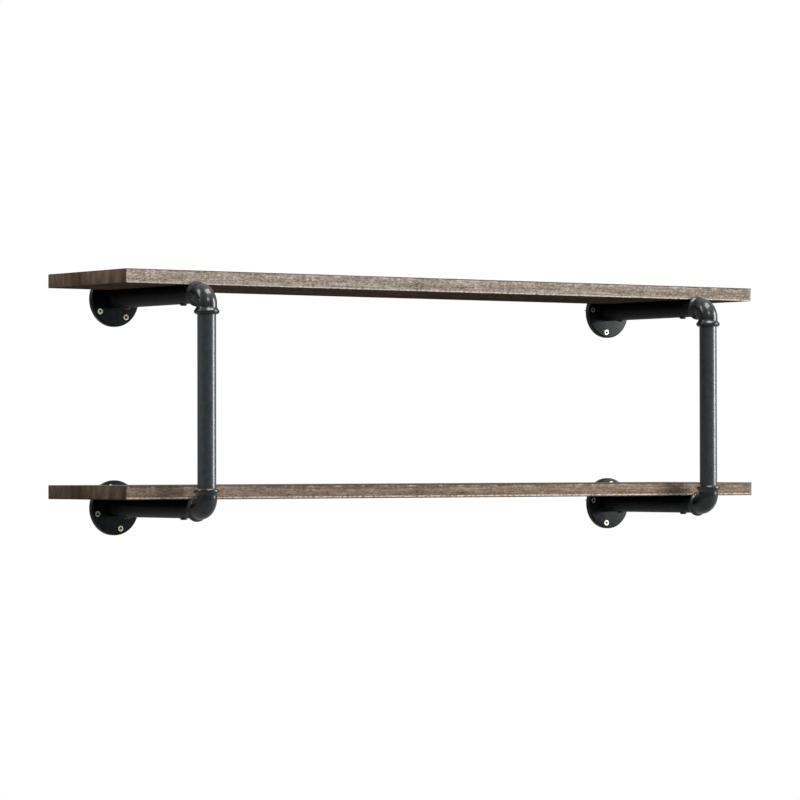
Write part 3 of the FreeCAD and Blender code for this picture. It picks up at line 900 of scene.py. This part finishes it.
def plated(name):
    """Plated steel with a patchy warm tint, fine turning marks and painted shade in the recess."""
    plate = PLATES[name]
    material, tree, shader = new_material(name)
    place = own_coordinates(tree)
    patches = noise(tree, place, **PLATE_PATCHES)
    marks = noise(tree, place, **TURNING_MARKS)
    colour = ramp(tree, patches, list(zip(PLATE_STOPS, (plate["warm"], plate["base"]))))
    recess = add_node(tree, "ShaderNodeAttribute", {"attribute_name": "recess"}).outputs["Fac"]
    # Painted shade: the cross recess darkened in colour.
    colour = mixed(tree, maths(tree, "MULTIPLY", recess, RECESS_SHADE_SHARE), colour, RECESS_PAINTED_SHADE)
    wire(tree, shader, {
        "Base Color": colour, "Metallic": 1.0,
        "Roughness": grey_ramp(tree, marks, *MARK_SPAN, *plate["rough"])})
    bumped(tree, shader, marks, MARK_DEPTH, MARK_STRENGTH)
    return material


# Pieces on the frame
def dress(piece, node):
    """A finished piece rides on the one body and stands for its node."""
    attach(piece, "root")
    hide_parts(node)


def arm_screw_row(place):
    """The row of board screws in an arm: count, the first one's place on the arm's axis, and step."""
    board_low, board_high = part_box("lower_board")
    axis = middle("arm_pipe_" + place)
    first = Vector((axis.x, board_high.y - BOARD_SCREW_INSET, axis.z))
    step = -BACK * (board_high.y - board_low.y - 2 * BOARD_SCREW_INSET)
    return {"Count": SCREWS_PER_ARM, "First": first, "Step": step}


def flange_ring(place):
    """The ring of holes in a flange: count, the first one's turn, and the flange's middle on the wall."""
    centre = middle("wall_flange_" + place)
    centre.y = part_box("wall_flange_" + place)[1].y
    return {"Count": HOLE_COUNT, "Turn": math.radians(FLANGE_TURNS[place]), "Centre": centre}


def flange_thickness(place):
    """A flange's size along the arm."""
    low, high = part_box("wall_flange_" + place)
    return high.y - low.y


def make_boards():
    """Two boards with pilot holes in their undersides, each in its own wood."""
    for tier in TIERS:
        node = "%s_board" % tier
        drilled = drilled_tree(weathered_wood("weathered_wood_%s" % tier, node, BOARD_TONES[tier]))
        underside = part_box(node)[0].z
        stages = []
        for side in SIDES:
            row = arm_screw_row("%s_%s" % (tier, side))
            row["First"].z = underside
            stages.append((drilled, {**row, "Hole Radius": PILOT_RADIUS, "Depth": 2 * PILOT_DEPTH}))
        shelf = grown("%s_shelf" % tier, board_blank("%s_shelf_blank" % tier, node), *stages)
        smooth(shelf.data, BOARD_SHARP_DEGREES)
        dress(shelf, node)


def make_pipes():
    """Four arms drilled for their board screws, and two plain uprights."""
    upright_coat = black_iron("satin_black_pipe")
    drilled = drilled_tree(black_iron("arm_black_darkened_for_shade"))
    for place in PLACES:
        node = "arm_pipe_" + place
        holes = {"Hole Radius": ARM_HOLE_RADIUS, "Depth": DRILL_LENGTHS * PIPE_RADIUS}
        tube = pipe(node + "_tube", node, BACK)
        arm = grown("iron_arm_" + place, tube, (drilled, {**arm_screw_row(place), **holes}))
        dress(arm, node)
    for side in SIDES:
        node = "upright_pipe_" + side
        upright = mesh_object("iron_upright_" + side, pipe(node + "_tube", node, UP), upright_coat)
        dress(upright, node)


def make_elbows():
    """Four cast elbows, the lower ones turned up and the upper ones down."""
    coat = black_iron("cast_black_elbow")
    for place in PLACES:
        name = "cast_elbow_" + place
        node = "elbow_" + place
        casting = elbow(name, node, place.startswith("lower"))
        dress(mesh_object(name, casting, coat), node)


def make_flanges():
    """Four wall flanges with countersunk holes."""
    holes = flange_tree(black_iron("gloss_black_flange"))
    for place in PLACES:
        node = "wall_flange_" + place
        thick = flange_thickness(place)
        blank = flange_blank(node + "_blank", half_width(node), thick)
        disc = grown("flange_disc_" + place, blank, (holes, {
            **flange_ring(place), "Circle Radius": HOLE_CIRCLE_RADIUS, "Hole Radius": HOLE_RADIUS,
            "Sink Radius": SINK_RADIUS, "Thickness": thick, "Overrun": CUT_OVERRUN}))
        dress(disc, node)


def make_wall_screws():
    """Zinc screws in the flanges' countersinks, with a plain shank in the flange and a thread in the wall."""
    tree = wall_screw_tree(plated("yellowed_zinc"))
    sizes = WALL_SCREW
    stand = Matrix.Rotation(-QUARTER_TURN, 4, "X")
    for place in PLACES:
        node = "wall_screws_" + place
        top = flange_thickness(place) - WALL_HEAD_SINK
        cone = sizes["head"] - sizes["shank"]
        head = [(0, sizes["head"]), (cone, sizes["shank"]), (top, sizes["shank"])]
        mesh = screw(node + "_one", sizes, head, sizes["length"], top + THREAD_GAP)
        mesh.transform(Matrix.Translation((HOLE_CIRCLE_RADIUS, -top, 0)) @ stand)
        dress(grown("zinc_screws_" + place, mesh, (tree, flange_ring(place))), node)


def make_board_screws():
    """Black screws with low heads, up through the arms into the boards."""
    tree = board_screw_tree(plated("black_oxide"))
    for place in PLACES:
        node = "board_screws_" + place
        low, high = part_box(node)
        row = arm_screw_row(place)
        row["First"].z = low.z
        head = domed_head(BOARD_SCREW)
        mesh = screw(node + "_one", BOARD_SCREW, head, high.z - low.z, BOARD_HEAD_HIGH + THREAD_GAP)
        dress(grown("black_screws_" + place, mesh, (tree, row)), node)


# Studio
def make_camera():
    """The camera at the photograph's viewing angle."""
    forward = Vector((math.sin(CAMERA_HEADING) * math.cos(CAMERA_PITCH),
                      math.cos(CAMERA_HEADING) * math.cos(CAMERA_PITCH), math.sin(CAMERA_PITCH)))
    level = Vector((math.cos(CAMERA_HEADING), -math.sin(CAMERA_HEADING), 0))
    lift = level.cross(forward)
    across = math.cos(CAMERA_ROLL) * level + math.sin(CAMERA_ROLL) * lift
    upward = -math.sin(CAMERA_ROLL) * level + math.cos(CAMERA_ROLL) * lift
    data = bpy.data.cameras.new("photo_camera")
    data.sensor_width = CAMERA_SENSOR
    data.lens = CAMERA_LENS
    camera = bpy.data.objects.new("photo_camera", data)
    turn = Matrix((across, upward, -forward)).transposed().to_4x4()
    camera.matrix_world = Matrix.Translation(CAMERA_PLACE) @ turn
    bpy.context.scene.collection.objects.link(camera)
    bpy.context.scene.camera = camera


def softbox(name, place, width, height, power, on_coats_only=False):
    """A soft rectangular lamp that points at the shelf and doesn't show."""
    data = bpy.data.lights.new(name, "AREA")
    data.shape = "RECTANGLE"
    data.size = width
    data.size_y = height
    data.energy = power
    lamp = bpy.data.objects.new(name, data)
    turn = (SOFTBOX_AIM - place).to_track_quat("-Z", "Y").to_matrix().to_4x4()
    lamp.matrix_world = Matrix.Translation(place) @ turn
    lamp.visible_camera = False
    lamp.visible_diffuse = not on_coats_only
    bpy.context.scene.collection.objects.link(lamp)


def make_lights():
    """The four softboxes."""
    for name, sizes in SOFTBOXES.items():
        softbox(name, **sizes)


def make_world():
    """White to the eye; in mirrored rays white behind the shelf and above it; a dim fill as a light."""
    world = bpy.data.worlds.new("white_studio")
    bpy.context.scene.world = world
    world.use_nodes = True
    tree = world.node_tree
    tree.nodes.clear()
    rays = add_node(tree, "ShaderNodeLightPath").outputs
    seen = maths(tree, "MAXIMUM", rays["Is Camera Ray"], rays["Is Transmission Ray"])
    heading = add_node(tree, "ShaderNodeTexCoord").outputs["Generated"]
    height = split(tree, heading)["Z"]
    fill = eased(tree, height, *FILL_RISE, FILL_BELOW, FILL_ABOVE)
    ceiling = eased(tree, height, *CEILING_RISE)
    lean = add_node(tree, "ShaderNodeVectorMath", {"operation": "DOT_PRODUCT"}, {0: heading, 1: BACKDROP_WAY})
    backdrop = eased(tree, lean.outputs["Value"], *BACKDROP_RISE)
    mirrored = mixed_value(tree, maths(tree, "MAXIMUM", ceiling, backdrop), STUDIO_DIM, 1.0)
    level = mixed_value(tree, rays["Is Glossy Ray"], fill, mirrored)
    level = mixed_value(tree, seen, level, 1.0)
    white = add_node(tree, "ShaderNodeBackground", None, {"Color": (1, 1, 1), "Strength": level})
    add_node(tree, "ShaderNodeOutputWorld", None, {"Surface": white.outputs[0]})


def make_floor():
    """A plain pale floor that fades into the white around it, and doesn't hide the shelf from below."""
    material, tree, shader = new_material("pale_floor")
    low, high = CAD_BOX
    centre = Vector(((low[0] + high[0]) / 2, (low[1] + high[1]) / 2, low[2] - FLOOR_DROP))
    place = own_coordinates(tree, centre)
    reach = add_node(tree, "ShaderNodeVectorMath", {"operation": "LENGTH"}, {0: place}).outputs["Value"]
    fade = eased(tree, reach, FLOOR_FADE_SHARE * FLOOR_RADIUS, FLOOR_RADIUS, 1.0, 0.0)
    from_below = add_node(tree, "ShaderNodeNewGeometry").outputs["Backfacing"]
    wire(tree, shader, {
        "Base Color": FLOOR_GREY, "Roughness": FLOOR_ROUGHNESS,
        "Alpha": maths(tree, "SUBTRACT", fade, from_below)})
    shape = bmesh.new()
    bmesh.ops.create_circle(shape, cap_ends=True, segments=ROUND_SEGMENTS, radius=FLOOR_RADIUS)
    bmesh.ops.translate(shape, vec=centre, verts=shape.verts)
    floor = mesh_object("studio_floor", mesh_from("studio_floor", shape), material)
    floor.visible_diffuse = False


make_boards()
make_pipes()
make_elbows()
make_flanges()
make_wall_screws()
make_board_screws()
make_camera()
make_lights()
make_world()
make_floor()
bpy.context.scene.view_settings.view_transform = "Standard"
